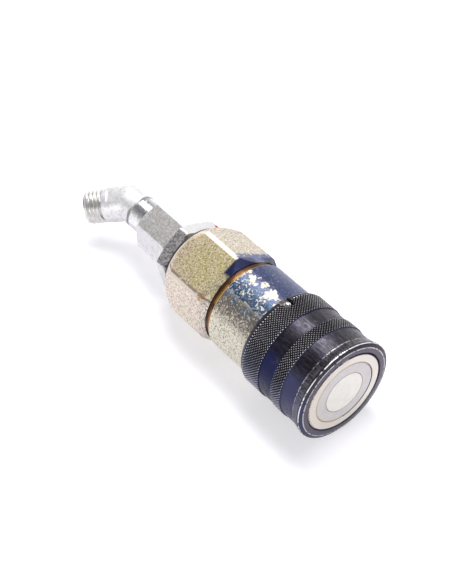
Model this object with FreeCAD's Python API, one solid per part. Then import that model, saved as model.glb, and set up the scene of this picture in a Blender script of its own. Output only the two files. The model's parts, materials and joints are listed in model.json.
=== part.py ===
import FreeCAD, Part
import math
import os

# Female half of a flat face hydraulic quick coupling, lying on a table, with a reducing
# nipple and a 45 degree swivel elbow on its port.
#
# The coupling axis is X. The mating face looks along +X and its centre is the origin.
# +Z is up. Every depth is a distance back from the mating face, in millimetres.
# The model shows the uncoupled state: the locking sleeve is held back by its balls and
# its rear notch sits round the lock ball.

V = FreeCAD.Vector
ORIGIN = V(0, 0, 0)
X_AXIS = V(1, 0, 0)

# Clearances between pieces
slide_gap = 0.08            # radial gap of a sliding fit
face_gap = 0.05             # gap between faces that seat on each other
thread_gap = 0.10           # radial gap that stands for a screwed joint
free_gap = 0.30             # gap between pieces that pass without guiding each other
seal_gap = 0.04             # gap round a seal in its groove

# Valve parts at the mating face
head_r = 9.95               # flat head of the fixed valve stem
head_length = 5.6
neck_r = 4.8
neck_cone_length = 3.6
valve_sleeve_r = 15.0       # outside of the sliding valve sleeve
valve_sleeve_length = 24.0
valve_sleeve_wall = 2.1
valve_nose_length = 7.0     # length of the thick nose that slides on the stem head
valve_nose_cone = 2.5
valve_collar_height = 0.8
valve_collar_depth = 17.0
valve_travel = 10.0         # a mating half pushes the valve sleeve in by this much
edge_break = 0.3
cut_margin = 1.0            # how far a cutting body reaches past the face it opens

# Front body
socket_r = 19.0             # outside of the front end, under the locking sleeve
barrel_step = 2.5           # the barrel stands out from the front end by this much
barrel_shoulder_depth = 32.6
barrel_chamfer = 0.5
carrier_seat_depth = 50.0
carrier_step = 1.1          # ledge that the stem carrier is clamped against
ball_hole_start = 5.0       # radius where the drilling bodies of the ball holes start

# Locking balls, twelve in a ring
ball_r = 2.5
ball_count = 12
ball_depth = 9.5
ball_hole_gap = 0.06

# Locking sleeve
sleeve_travel = 6.8
sleeve_length = 39.4
sleeve_wall = 1.27          # thickness of the plain bands over the barrel bore
knurl_height = 0.70         # knurled bands above the plain ones
flange_height = 0.45        # front flange above the knurled bands
front_face_step = 1.90      # front face's edge below the flange
front_bevel = 0.85
flange_edge = 0.9
flare_end_depth = 5.3
flare_end_step = 0.40       # end of the flare below the knurled bands
front_knurl_depth = 13.2
front_knurl_length = 6.0
rear_knurl_depth = 27.1
knurl_shoulder = 0.35
rear_edge_step = 1.15
rear_taper_length = 2.7
front_lip_gap = 0.45
release_groove_r = 20.45
groove_ramp_length = 1.0    # length of the ramp at each end of the release groove
land_width = 1.7
land_gap = 0.30
notch_r = 2.5
notch_reach = 2.0           # how far the notch's cutting body passes both skins
rest_flat_half_width = 6.3  # flat along the sleeve's lowest line, on which the coupling lies

# Lock ball that the notch clears
lock_ball_r = 2.0
lock_ball_depth = 35.9
lock_ball_angle = 92.0      # degrees from +Y towards +Z
lock_ball_sink = 0.1        # how far its centre lies under the barrel surface
lock_seat_length = 5.0      # from the bottom of its blind hole past the barrel surface

# Stop ring in front of the sleeve's inner land
stop_wire_r = 0.8
stop_ring_depth = 13.4
stop_ring_centre_r = 19.25

# Coil springs
sleeve_wire_r = 0.9
sleeve_spring_coils = 4.0
spring_outward = 0.05       # the coil runs a little nearer the sleeve than the socket
valve_wire_r = 0.95
valve_spring_coils = 5.0

# Stem carrier and nut
carrier_length = 6.4
carrier_hub_r = 5.4
flow_hole_r = 2.9
flow_hole_count = 6
flow_hole_pitch_r = 9.0
stem_tail_r = 4.0
stem_nut_flats = 13.0
stem_nut_length = 6.5
stem_tail_end = 1.4
stem_shoulder_length = 1.6
stem_nut_washer_r = 6.2     # end faces of the nut, inside its flats
stem_nut_corner_r = 7.4
stem_nut_chamfer = 1.2

# Seals at the mating end
probe_seal_section_r = 1.15
probe_groove_depth = 3.2
backup_ring_length = 1.0
stem_seal_section_r = 0.9
stem_seal_depth = 3.1

# Rear body, a milled hexagon with a female port
hex_flats = 41.0
hex_land_flats = 46.1       # across the small flats on the six corners
hex_length = 31.1
spigot_length = 6.4         # from the stem carrier to the barrel's end
throat_length = 2.8         # from the barrel's end to the hexagon
hex_front_r = 20.9
hex_front_chamfer = 3.9
hex_rear_r = 18.9
hex_rear_chamfer = 6.0
land_lip = 0.1              # chamfers start this far above the corner lands
throat_r = 20.4             # groove between the barrel and the hexagon
port_thread_r = 13.25
port_depth = 14.5
port_floor_cone = 1.2       # length of the cone at the bottom of the port's thread
body_bore_r = 11.2
body_seal_section_r = 0.9
body_seal_back = 1.6        # from the barrel's end to the middle of the seal
hex_corner_angle = 90.0     # a corner points up and one down

# Reducing nipple and its bonded seal
seal_thickness = 2.2
bonded_ring_r = 17.35
bonded_ring_inner_r = 14.9
bonded_lip_height = 0.9
bonded_lip_bulge = 0.36     # extra height at the middle of the lip
nipple_flats = 32.0
nipple_corner_r = 18.2
nipple_hex_length = 7.0
nipple_corner_angle = 42.6
nipple_chamfer = 1.0
washer_face_inset = 0.3     # end faces of the nipple's hexagon, inside its flats
nipple_port_length = 12.5
nipple_bore_r = 4.5
male_r = 8.33               # outside radius of a G 3/8 thread
nipple_male_length = 12.0
thread_relief_length = 2.0
thread_relief_depth = 1.1
thread_lead = 0.8
cone_mouth_r = 6.6
cone_angle = 30.0           # half of a 60 degree cone

# Swivel nut
nut_flats = 22.0
nut_front_gap = 2.5         # thread left showing between the nipple and the nut
nut_length = 21.5
nut_corner_angle = 26.8
nut_chamfer = 1.0
nut_washer_inset = 0.1
nut_neck_r = 8.4
nut_neck_length = 10.2
nut_thread_depth = 14.6
neck_root = 0.7

# Swivel elbow
tail_r = 6.5
elbow_bore_r = 4.0
elbow_gap = 1.3             # from the nut's neck to the elbow's forged body
bend_length = 8.7           # from the front of the forged body to the bend
elbow_r = 8.5
elbow_flat_height = 7.5     # half the distance between the two forged flats
elbow_turn = 45.0
elbow_dip = 21.0            # degrees that the leg hangs below the horizontal
forged_leg_length = 9.4
leg_length = 21.2
thrust_wire_r = 0.75
thrust_wire_back = 3.9      # from the end of the nut's hexagon to the wire
cone_seal_section_r = 0.55
cone_seal_back = 1.6        # from the nipple's end to the middle of the seal
nose_length = 3.2
tail_bore_start = 6.0       # the elbow's bore opens this far inside the nipple

# Sizes worked out from the ones above
valve_bore_r = valve_sleeve_r + slide_gap
barrel_r = socket_r + barrel_step
valve_chamber_r = valve_sleeve_r + valve_collar_height + slide_gap
ball_centre_r = valve_sleeve_r + slide_gap + ball_r
sleeve_lip_r = socket_r + front_lip_gap
sleeve_bore_r = barrel_r + slide_gap
band_r = sleeve_bore_r + sleeve_wall
knurl_r = band_r + knurl_height
flange_r = knurl_r + flange_height
front_face_r = flange_r - front_face_step
flare_end_r = knurl_r - flare_end_step
rear_edge_r = knurl_r - rear_edge_step
land_front_depth = stop_ring_depth + stop_wire_r + free_gap + sleeve_travel
land_rear_depth = land_front_depth + land_width
carrier_r = valve_chamber_r + carrier_step
carrier_end_depth = carrier_seat_depth + carrier_length
barrel_end_depth = carrier_end_depth + spigot_length
body_seal_depth = barrel_end_depth - body_seal_back
hex_front_depth = barrel_end_depth + throat_length
hex_end_depth = hex_front_depth + hex_length
spigot_r = carrier_r - thread_gap
nipple_face_depth = hex_end_depth + seal_thickness
nipple_back_depth = nipple_face_depth + nipple_hex_length
nipple_end_depth = nipple_back_depth + nipple_male_length
nut_front_depth = nipple_back_depth + nut_front_gap
nut_end_depth = nut_front_depth + nut_length
nut_neck_end_depth = nut_end_depth + nut_neck_length
thrust_wire_depth = nut_end_depth - thrust_wire_back
elbow_face_depth = nut_neck_end_depth + elbow_gap
bend_depth = elbow_face_depth + bend_length


def turned(points):
    """Solid turned about the coupling axis from (depth, radius) corners."""
    corners = [V(-depth, 0, radius) for depth, radius in points]
    corners.append(corners[0])
    return Part.Face(Part.makePolygon(corners)).revolve(ORIGIN, X_AXIS, 360)


def tube(front, back, outer_r, inner_r=0.0):
    """Plain tube, or a bar when no inner radius is given."""
    return turned([(front, inner_r), (front, outer_r), (back, outer_r), (back, inner_r)])


def hexagon(front, back, across_flats, corner_angle):
    """Hexagonal prism along the coupling axis."""
    corner_r = across_flats / 2 / math.cos(math.radians(30))
    corners = []
    for step in range(7):
        angle = math.radians(corner_angle + 60 * step)
        corners.append(V(-back, corner_r * math.cos(angle), corner_r * math.sin(angle)))
    return Part.Face(Part.makePolygon(corners)).extrude(V(back - front, 0, 0))


def radial(angle):
    """Unit vector square to the coupling axis, at an angle from +Y towards +Z."""
    turn = math.radians(angle)
    return V(0, math.cos(turn), math.sin(turn))


def ring(depth, centre_r, section_r):
    """Round ring, such as a seal or a wire ring."""
    return Part.makeTorus(centre_r, section_r, V(-depth, 0, 0), X_AXIS)


def coil(front, back, centre_r, wire_r, coils, make_helix):
    """Coil spring that fills the room between two faces, on the kind of helix asked for."""
    height = back - front - 2 * (wire_r + face_gap)
    helix = make_helix(height / coils, height, centre_r)
    section = Part.Wire(Part.makeCircle(wire_r, V(centre_r, 0, 0), V(0, 1, 0)))
    spring = Part.Wire(helix).makePipeShell([section], True, True)
    spring.rotate(ORIGIN, V(0, 1, 0), 90)
    spring.translate(V(-back + wire_r + face_gap, 0, 0))
    return spring


def valve_stem():
    """Fixed stem with the flat head that closes the middle of the mating face."""
    seal_groove_r = head_r - 2 * stem_seal_section_r
    shoulder_depth = carrier_seat_depth - stem_shoulder_length
    tail_end = carrier_end_depth + stem_nut_length + stem_tail_end
    body = turned([
        (0, 0),
        (0, head_r),
        (head_length, head_r),
        (head_length + neck_cone_length, neck_r),
        (shoulder_depth, neck_r),
        (shoulder_depth, carrier_hub_r),
        (carrier_seat_depth, carrier_hub_r),
        (carrier_seat_depth, stem_tail_r),
        (tail_end, stem_tail_r),
        (tail_end, 0),
    ])
    groove_front = stem_seal_depth - stem_seal_section_r - seal_gap
    groove_back = stem_seal_depth + stem_seal_section_r + seal_gap
    return body.cut(tube(groove_front, groove_back, head_r + cut_margin, seal_groove_r))


def stem_seal():
    """Round seal in the edge of the stem head."""
    return ring(stem_seal_depth, head_r - stem_seal_section_r + seal_gap / 2, stem_seal_section_r)


def valve_sleeve():
    """Sliding ring between the stem head and the front body."""
    nose_r = head_r + slide_gap
    inner_r = valve_sleeve_r - valve_sleeve_wall
    collar_r = valve_sleeve_r + valve_collar_height
    collar_front = valve_collar_depth + face_gap
    return turned([
        (0, nose_r),
        (0, valve_sleeve_r - edge_break),
        (edge_break, valve_sleeve_r),
        (collar_front, valve_sleeve_r),
        (collar_front, collar_r),
        (valve_sleeve_length, collar_r),
        (valve_sleeve_length, inner_r),
        (valve_nose_length + valve_nose_cone, inner_r),
        (valve_nose_length, nose_r),
    ])


def valve_spring():
    """Spring that pushes the valve sleeve forward against its collar."""
    centre_r = valve_sleeve_r - valve_sleeve_wall / 2 - slide_gap
    # The long helix gives each coil a face of its own, which this wide pitch needs to mesh well.
    return coil(valve_sleeve_length, carrier_seat_depth, centre_r, valve_wire_r, valve_spring_coils,
                Part.makeLongHelix)


def stem_carrier():
    """Disc with flow holes that holds the stem."""
    disc = tube(carrier_seat_depth, carrier_end_depth, carrier_r - slide_gap, stem_tail_r + slide_gap)
    for step in range(flow_hole_count):
        side = radial(360 / flow_hole_count * step)
        base = V(-carrier_end_depth - cut_margin, 0, 0) + side * flow_hole_pitch_r
        disc = disc.cut(Part.makeCylinder(flow_hole_r, carrier_length + 2 * cut_margin, base, X_AXIS))
    return disc


def stem_nut():
    """Nut that pulls the stem shoulder on to the carrier."""
    front = carrier_end_depth + face_gap
    back = front + stem_nut_length
    nut = hexagon(front, back, stem_nut_flats, 0)
    blank = turned([
        (front, 0),
        (front, stem_nut_corner_r),
        (back - stem_nut_chamfer, stem_nut_corner_r),
        (back, stem_nut_washer_r),
        (back, 0),
    ])
    bore = tube(front - cut_margin, back + cut_margin, stem_tail_r + thread_gap)
    return nut.common(blank).cut(bore)


def probe_groove():
    """Room for the probe seal and its backup ring in the front body."""
    depth = probe_groove_depth
    length = 2 * probe_seal_section_r + backup_ring_length + 4 * seal_gap
    return tube(depth, depth + length, valve_bore_r + 2 * probe_seal_section_r, 0)


def probe_seal():
    """Round seal that wipes the valve sleeve and seals a mating probe."""
    centre = probe_groove_depth + seal_gap + probe_seal_section_r
    return ring(centre, valve_bore_r + probe_seal_section_r, probe_seal_section_r)


def backup_ring():
    """Flat ring behind the probe seal."""
    front = probe_groove_depth + 2 * probe_seal_section_r + 2 * seal_gap
    outer_r = valve_bore_r + 2 * probe_seal_section_r - seal_gap
    return tube(front, front + backup_ring_length, outer_r, valve_bore_r)


def ball_axes():
    """Directions of the locking ball holes."""
    return [radial(360 / ball_count * (step + 0.5)) for step in range(ball_count)]


def front_body():
    """Socket and barrel, one turned piece with the ball holes."""
    body = turned([
        (0, valve_bore_r),
        (0, socket_r - edge_break),
        (edge_break, socket_r),
        (barrel_shoulder_depth, socket_r),
        (barrel_shoulder_depth, barrel_r - barrel_chamfer),
        (barrel_shoulder_depth + barrel_chamfer, barrel_r),
        (barrel_end_depth - barrel_chamfer, barrel_r),
        (barrel_end_depth, barrel_r - barrel_chamfer),
        (barrel_end_depth, carrier_r),
        (carrier_seat_depth, carrier_r),
        (carrier_seat_depth, valve_chamber_r),
        (valve_collar_depth, valve_chamber_r),
        (valve_collar_depth, valve_bore_r),
    ])
    body = body.cut(probe_groove())
    for axis in ball_axes():
        base = V(-ball_depth, 0, 0) + axis * ball_hole_start
        hole = Part.makeCylinder(ball_r + ball_hole_gap, socket_r, base, axis)
        body = body.cut(hole)
    groove_inner_r = stop_ring_centre_r - stop_wire_r - seal_gap
    groove_half = stop_wire_r + seal_gap
    body = body.cut(tube(stop_ring_depth - groove_half, stop_ring_depth + groove_half,
                         socket_r + cut_margin, groove_inner_r))
    return body.cut(lock_ball_seat())


def locking_balls():
    """Ring of balls, pushed out by the valve sleeve."""
    balls = [Part.makeSphere(ball_r, V(-ball_depth, 0, 0) + axis * ball_centre_r) for axis in ball_axes()]
    return Part.makeCompound(balls)


def lock_ball_centre_r():
    """Distance of the lock ball's centre from the coupling axis."""
    return barrel_r - lock_ball_sink


def lock_ball_seat():
    """Blind hole in the barrel under the lock ball."""
    side = radial(lock_ball_angle)
    bottom_r = lock_ball_centre_r() - lock_ball_r - seal_gap
    base = V(-lock_ball_depth, 0, 0) + side * bottom_r
    return Part.makeCylinder(lock_ball_r + seal_gap, lock_seat_length, base, side)


def lock_ball():
    """Ball that stops the sleeve from going back until the notch meets it."""
    centre = V(-lock_ball_depth, 0, 0) + radial(lock_ball_angle) * lock_ball_centre_r()
    return Part.makeSphere(lock_ball_r, centre)


def sleeve_stop_ring():
    """Wire ring that ends the sleeve's forward travel."""
    return ring(stop_ring_depth, stop_ring_centre_r, stop_wire_r)


def sleeve_notch():
    """Round-ended slot in the sleeve's rear edge, open to the back."""
    side = radial(lock_ball_angle)
    across = X_AXIS.cross(side)
    start = barrel_r - notch_reach
    height = knurl_r + notch_reach - start
    end_round = Part.makeCylinder(notch_r, height, V(-lock_ball_depth, 0, 0) + side * start, side)
    length = sleeve_length + cut_margin - lock_ball_depth
    corners = [
        V(-lock_ball_depth, 0, 0) + side * start - across * notch_r,
        V(-lock_ball_depth, 0, 0) + side * start + across * notch_r,
        V(-lock_ball_depth - length, 0, 0) + side * start + across * notch_r,
        V(-lock_ball_depth - length, 0, 0) + side * start - across * notch_r,
    ]
    corners.append(corners[0])
    slot = Part.Face(Part.makePolygon(corners)).extrude(side * height)
    return end_round.fuse(slot)


def knurl_band(front, back):
    """Outline of one raised knurled band, as (depth, radius) corners."""
    return [
        (front, band_r),
        (front + knurl_shoulder, knurl_r),
        (back - knurl_shoulder, knurl_r),
        (back, band_r),
    ]


def rest_flat():
    """Slab that takes a flat off the sleeve's lowest line, flange and knurled bands alike."""
    top = -math.sqrt(flange_r ** 2 - rest_flat_half_width ** 2)
    corner = V(-sleeve_length - cut_margin, -flange_r, top - flange_r)
    return Part.makeBox(sleeve_length + 2 * cut_margin, 2 * flange_r, flange_r, corner)


def locking_sleeve():
    """Sliding sleeve that traps the locking balls."""
    groove_front = ball_depth - ball_r - free_gap
    outline = [
        (edge_break, sleeve_lip_r),
        (0, sleeve_lip_r + edge_break),
        (0, front_face_r),
        (front_bevel, flange_r),
        (front_bevel + flange_edge, flange_r),
        (flare_end_depth, flare_end_r),
        (flare_end_depth + knurl_shoulder, band_r),
    ]
    outline += knurl_band(front_knurl_depth, front_knurl_depth + front_knurl_length)
    outline += [
        (rear_knurl_depth, band_r),
        (rear_knurl_depth + knurl_shoulder, knurl_r),
        (sleeve_length - rear_taper_length, knurl_r),
        (sleeve_length, rear_edge_r),
        (sleeve_length, sleeve_bore_r),
        (land_rear_depth, sleeve_bore_r),
        (land_rear_depth, socket_r + land_gap),
        (land_front_depth, socket_r + land_gap),
        (land_front_depth - groove_ramp_length, release_groove_r),
        (groove_front + groove_ramp_length, release_groove_r),
        (groove_front, sleeve_lip_r),
    ]
    return turned(outline).cut(sleeve_notch()).cut(rest_flat())


def sleeve_spring():
    """Spring that throws the sleeve forward when the balls drop."""
    centre_r = (socket_r + sleeve_bore_r) / 2 + spring_outward
    return coil(land_rear_depth, barrel_shoulder_depth, centre_r, sleeve_wire_r, sleeve_spring_coils,
                Part.makeHelix)


def rear_body():
    """Hexagon with a spigot in the barrel and a female port behind."""
    flats = hexagon(hex_front_depth, hex_end_depth, hex_flats, hex_corner_angle)
    lands = hexagon(hex_front_depth, hex_end_depth, hex_land_flats, hex_corner_angle + 30)
    outer_r = hex_land_flats / 2 / math.cos(math.radians(30))
    blank = turned([
        (hex_front_depth, 0),
        (hex_front_depth, hex_front_r),
        (hex_front_depth + hex_front_chamfer, hex_land_flats / 2 + land_lip),
        (hex_front_depth + hex_front_chamfer, outer_r),
        (hex_end_depth - hex_rear_chamfer, outer_r),
        (hex_end_depth - hex_rear_chamfer, hex_land_flats / 2 + land_lip),
        (hex_end_depth, hex_rear_r),
        (hex_end_depth, 0),
    ])
    body = flats.common(lands).common(blank)
    spigot_front = carrier_end_depth + face_gap
    seal_groove_r = spigot_r - 2 * body_seal_section_r
    spigot = turned([
        (spigot_front, body_bore_r),
        (spigot_front, spigot_r - edge_break),
        (spigot_front + edge_break, spigot_r),
        (body_seal_depth - body_seal_section_r - seal_gap, spigot_r),
        (body_seal_depth - body_seal_section_r - seal_gap, seal_groove_r),
        (body_seal_depth + body_seal_section_r + seal_gap, seal_groove_r),
        (body_seal_depth + body_seal_section_r + seal_gap, spigot_r),
        (barrel_end_depth + face_gap, spigot_r),
        (barrel_end_depth + face_gap, throat_r),
        (hex_front_depth + cut_margin, throat_r),
        (hex_front_depth + cut_margin, body_bore_r),
    ])
    bores = tube(hex_front_depth - cut_margin, hex_end_depth + cut_margin, body_bore_r)
    port = turned([
        (hex_end_depth - port_depth - port_floor_cone, body_bore_r),
        (hex_end_depth - port_depth, port_thread_r),
        (hex_end_depth + cut_margin, port_thread_r),
        (hex_end_depth + cut_margin, 0),
        (hex_end_depth - port_depth - port_floor_cone, 0),
    ])
    return body.cut(bores).fuse(spigot).cut(port).removeSplitter()


def body_seal():
    """Round seal between the spigot and the barrel."""
    return ring(body_seal_depth, spigot_r - body_seal_section_r + seal_gap / 2, body_seal_section_r)


def bonded_seal_ring():
    """Steel washer of the bonded seal."""
    return tube(hex_end_depth + face_gap, nipple_face_depth - face_gap, bonded_ring_r, bonded_ring_inner_r)


def bonded_seal_lip():
    """Rubber lip moulded inside the steel washer."""
    middle = (hex_end_depth + nipple_face_depth) / 2
    half = seal_thickness / 2 - face_gap
    return turned([
        (middle - half, bonded_ring_inner_r),
        (middle + half, bonded_ring_inner_r),
        (middle + half, bonded_ring_inner_r - bonded_lip_height),
        (middle, bonded_ring_inner_r - bonded_lip_height - bonded_lip_bulge),
        (middle - half, bonded_ring_inner_r - bonded_lip_height),
    ])


def nipple():
    """Hexagon nipple between the coupling's port and the swivel nut."""
    prism = hexagon(nipple_face_depth, nipple_back_depth, nipple_flats, nipple_corner_angle)
    washer_r = nipple_flats / 2 - washer_face_inset
    blank = turned([
        (nipple_face_depth, 0),
        (nipple_face_depth, washer_r),
        (nipple_face_depth + nipple_chamfer, nipple_corner_r),
        (nipple_back_depth - nipple_chamfer, nipple_corner_r),
        (nipple_back_depth, washer_r),
        (nipple_back_depth, 0),
    ])
    port_r = port_thread_r - thread_gap
    front = nipple_face_depth - nipple_port_length
    cone_length = (cone_mouth_r - nipple_bore_r) / math.tan(math.radians(cone_angle))
    shank = turned([
        (front, 0),
        (front, port_r - thread_lead),
        (front + thread_lead, port_r),
        (nipple_face_depth - thread_relief_length, port_r),
        (nipple_face_depth - thread_relief_length, port_r - thread_relief_depth),
        (nipple_face_depth + cut_margin, port_r - thread_relief_depth),
        (nipple_face_depth + cut_margin, male_r),
        (nipple_back_depth, male_r),
        (nipple_back_depth, male_r - thread_relief_depth),
        (nipple_back_depth + thread_relief_length, male_r - thread_relief_depth),
        (nipple_back_depth + thread_relief_length, male_r),
        (nipple_end_depth - thread_lead, male_r),
        (nipple_end_depth, male_r - thread_lead),
        (nipple_end_depth, 0),
    ])
    bore = turned([
        (front - cut_margin, 0),
        (front - cut_margin, nipple_bore_r),
        (nipple_end_depth - cone_length, nipple_bore_r),
        (nipple_end_depth, cone_mouth_r),
        (nipple_end_depth + cut_margin, cone_mouth_r),
        (nipple_end_depth + cut_margin, 0),
    ])
    return prism.common(blank).fuse(shank).cut(bore).removeSplitter()


def swivel_nut():
    """Union nut with a round neck behind."""
    prism = hexagon(nut_front_depth, nut_end_depth, nut_flats, nut_corner_angle)
    corner_r = nut_flats / 2 / math.cos(math.radians(30))
    washer_r = nut_flats / 2 - nut_washer_inset
    blank = turned([
        (nut_front_depth, 0),
        (nut_front_depth, washer_r),
        (nut_front_depth + nut_chamfer, corner_r),
        (nut_end_depth - nut_chamfer, corner_r),
        (nut_end_depth, washer_r),
        (nut_end_depth, 0),
    ])
    neck = turned([
        (nut_end_depth - cut_margin, 0),
        (nut_end_depth - cut_margin, nut_neck_r + neck_root),
        (nut_end_depth, nut_neck_r + neck_root),
        (nut_end_depth + neck_root, nut_neck_r),
        (nut_neck_end_depth - edge_break, nut_neck_r),
        (nut_neck_end_depth, nut_neck_r - edge_break),
        (nut_neck_end_depth, 0),
    ])
    thread_end = nut_front_depth + nut_thread_depth
    bore = turned([
        (nut_front_depth - cut_margin, 0),
        (nut_front_depth - cut_margin, male_r + thread_gap + thread_lead),
        (nut_front_depth, male_r + thread_gap + thread_lead),
        (nut_front_depth + thread_lead, male_r + thread_gap),
        (thread_end, male_r + thread_gap),
        (thread_end + thread_lead, tail_r + slide_gap),
        (nut_neck_end_depth + cut_margin, tail_r + slide_gap),
        (nut_neck_end_depth + cut_margin, 0),
    ])
    wire_groove = ring(thrust_wire_depth, tail_r + slide_gap / 2, thrust_wire_r + seal_gap)
    return prism.common(blank).fuse(neck).cut(bore).cut(wire_groove)


def thrust_wire():
    """Wire ring that ties the nut to the elbow tail and lets it turn."""
    return ring(thrust_wire_depth, tail_r + slide_gap / 2, thrust_wire_r)


def leg_axis():
    """Unit vector along the elbow's free leg, away from the bend."""
    turn = math.radians(elbow_turn)
    dip = math.radians(elbow_dip)
    return V(-math.cos(turn), -math.sin(turn) * math.cos(dip), -math.sin(turn) * math.sin(dip))


def cone_seal_centre():
    """Depth and radius of the seal's middle in the elbow's cone nose."""
    slope = math.radians(cone_angle)
    depth = nipple_end_depth - cone_seal_back
    cone_r = cone_mouth_r - cone_seal_back * math.tan(slope)
    return depth, cone_r - (cone_seal_section_r + seal_gap) / math.cos(slope)


def cone_seal():
    """Small round seal in the elbow's cone nose."""
    depth, centre_r = cone_seal_centre()
    return ring(depth, centre_r, cone_seal_section_r)


def elbow_tail():
    """Round tail with the cone nose that the nut pulls into the nipple."""
    slope = math.tan(math.radians(cone_angle))
    seat_r = cone_mouth_r - face_gap
    nose_back = nipple_end_depth - (seat_r - tail_r) / slope
    tail = turned([
        (nose_back - nose_length, 0),
        (nose_back - nose_length, tail_r - nose_length * slope),
        (nose_back, tail_r),
        (bend_depth, tail_r),
        (bend_depth, 0),
    ])
    depth, centre_r = cone_seal_centre()
    tail = tail.cut(ring(depth, centre_r, cone_seal_section_r + seal_gap))
    return tail.cut(ring(thrust_wire_depth, tail_r + slide_gap / 2, thrust_wire_r + seal_gap))


def elbow_forging():
    """Bent body with two forged flats, mitred on the inside of the bend."""
    bend = V(-bend_depth, 0, 0)
    straight = tube(elbow_face_depth, bend_depth, elbow_r)
    leg = Part.makeCylinder(elbow_r, forged_leg_length, bend, leg_axis())
    body = straight.fuse(leg).fuse(Part.makeSphere(elbow_r, bend))
    reach = 4 * elbow_r
    slab = Part.makeBox(2 * reach, 2 * reach, 2 * elbow_flat_height,
                        V(-bend_depth - reach, -reach, -elbow_flat_height))
    slab.rotate(ORIGIN, X_AXIS, elbow_dip)
    return body.common(slab)


def elbow():
    """Swivel elbow with a male threaded leg."""
    bend = V(-bend_depth, 0, 0)
    axis = leg_axis()
    stub = Part.makeCylinder(male_r, leg_length - thread_lead - forged_leg_length,
                             bend + axis * forged_leg_length, axis)
    lead = Part.makeCone(male_r, male_r - thread_lead, thread_lead,
                         bend + axis * (leg_length - thread_lead), axis)
    body = elbow_forging().fuse(elbow_tail()).fuse(stub).fuse(lead)
    tail_bore = tube(nipple_end_depth - tail_bore_start, bend_depth, elbow_bore_r)
    leg_bore = Part.makeCylinder(elbow_bore_r, leg_length + cut_margin, bend, axis)
    cone_length = (cone_mouth_r - elbow_bore_r) / math.tan(math.radians(cone_angle))
    mouth = Part.makeCone(elbow_bore_r, cone_mouth_r, cone_length,
                          bend + axis * (leg_length - cone_length), axis)
    bores = tail_bore.fuse(leg_bore).fuse(Part.makeSphere(elbow_bore_r, bend)).fuse(mouth)
    return body.cut(bores)


PIECES = {
    "front_body": front_body,
    "rear_body": rear_body,
    "locking_sleeve": locking_sleeve,
    "sleeve_spring": sleeve_spring,
    "sleeve_stop_ring": sleeve_stop_ring,
    "locking_balls": locking_balls,
    "lock_ball": lock_ball,
    "valve_sleeve": valve_sleeve,
    "valve_spring": valve_spring,
    "valve_stem": valve_stem,
    "stem_seal": stem_seal,
    "stem_carrier": stem_carrier,
    "stem_nut": stem_nut,
    "probe_seal": probe_seal,
    "backup_ring": backup_ring,
    "body_seal": body_seal,
    "bonded_seal_ring": bonded_seal_ring,
    "bonded_seal_lip": bonded_seal_lip,
    "nipple": nipple,
    "swivel_nut": swivel_nut,
    "thrust_wire": thrust_wire,
    "cone_seal": cone_seal,
    "elbow": elbow,
}

os.makedirs("parts", exist_ok=True)
for name, make in PIECES.items():
    shape = make()
    shape.exportStep("parts/" + name + ".step")
    print(name, "valid", shape.isValid(), "solids", len(shape.Solids), "volume", round(shape.Volume, 1))
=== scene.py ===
import json
import logging
import math
from dataclasses import dataclass
from enum import Enum
from functools import partial, reduce

import bmesh
import bpy
from bpy.types import Material, Node, NodeSocket, NodeTree, Object
from mathutils import Matrix, Vector


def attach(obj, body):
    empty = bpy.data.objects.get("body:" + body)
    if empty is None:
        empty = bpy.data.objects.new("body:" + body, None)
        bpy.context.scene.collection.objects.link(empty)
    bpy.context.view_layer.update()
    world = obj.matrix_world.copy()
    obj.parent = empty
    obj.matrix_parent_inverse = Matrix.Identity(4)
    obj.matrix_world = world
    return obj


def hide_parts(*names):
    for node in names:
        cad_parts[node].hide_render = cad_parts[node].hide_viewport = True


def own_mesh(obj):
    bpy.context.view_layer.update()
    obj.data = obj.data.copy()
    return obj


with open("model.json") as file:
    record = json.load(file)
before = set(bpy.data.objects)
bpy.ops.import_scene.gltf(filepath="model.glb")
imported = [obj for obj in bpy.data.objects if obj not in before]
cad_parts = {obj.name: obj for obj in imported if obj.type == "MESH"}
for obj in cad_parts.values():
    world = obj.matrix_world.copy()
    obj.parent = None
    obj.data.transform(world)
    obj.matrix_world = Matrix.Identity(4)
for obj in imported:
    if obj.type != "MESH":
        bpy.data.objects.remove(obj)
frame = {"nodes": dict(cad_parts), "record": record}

LOG = logging.getLogger("coupling")
MM = 0.001
PER_METRE = 1000.0
Colour = tuple[float, float, float]


class Slot(Enum):
    """Material slots of the record."""

    BARREL = "barrel_paint"
    CHROMATE = "chromate_steel"
    BLACK = "black_steel"
    BRIGHT = "bright_steel"
    BALL = "ball_steel"
    SPRING = "spring_steel"
    PLAIN = "plain_steel"
    RUBBER = "seal_rubber"
    BACKUP = "backup_plastic"
    WASHER = "washer_steel"
    ZINC = "zinc_steel"


class Body(Enum):
    """Rigid bodies that a piece can ride on."""

    COUPLING = "coupling_body"
    SLEEVE = "locking_sleeve"


def radial(angle: float) -> Vector:
    """Return the unit vector square to the coupling axis, at an angle in degrees from +Y towards +Z."""
    turn = math.radians(angle)
    return Vector((0.0, math.cos(turn), math.sin(turn)))


def point_at(depth: float, angle: float, radius: float) -> Vector:
    """Return a point of the row frame in metres, from its depth and radius in mm and its angle."""
    return Vector((-depth * MM, 0.0, 0.0)) + radial(angle) * radius * MM


def add_node(tree: NodeTree, kind: str, feeds: dict[str | int, object], **settings: object) -> Node:
    """Add a shader node.

    Args:
        tree: The tree that gets it.
        kind: Blender's name of the node, without ShaderNode in front.
        feeds: What feeds each input, which goes by its name or number: a socket, a number or a colour.
        settings: Properties of the node.

    Returns:
        The node.
    """
    node = tree.nodes.new("ShaderNode" + kind)
    for key, setting in settings.items():
        setattr(node, key, setting)
    for key, source in feeds.items():
        if isinstance(source, NodeSocket):
            tree.links.new(source, node.inputs[key])
        else:
            node.inputs[key].default_value = (*source, 1.0) if isinstance(source, tuple) else source
    return node


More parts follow.
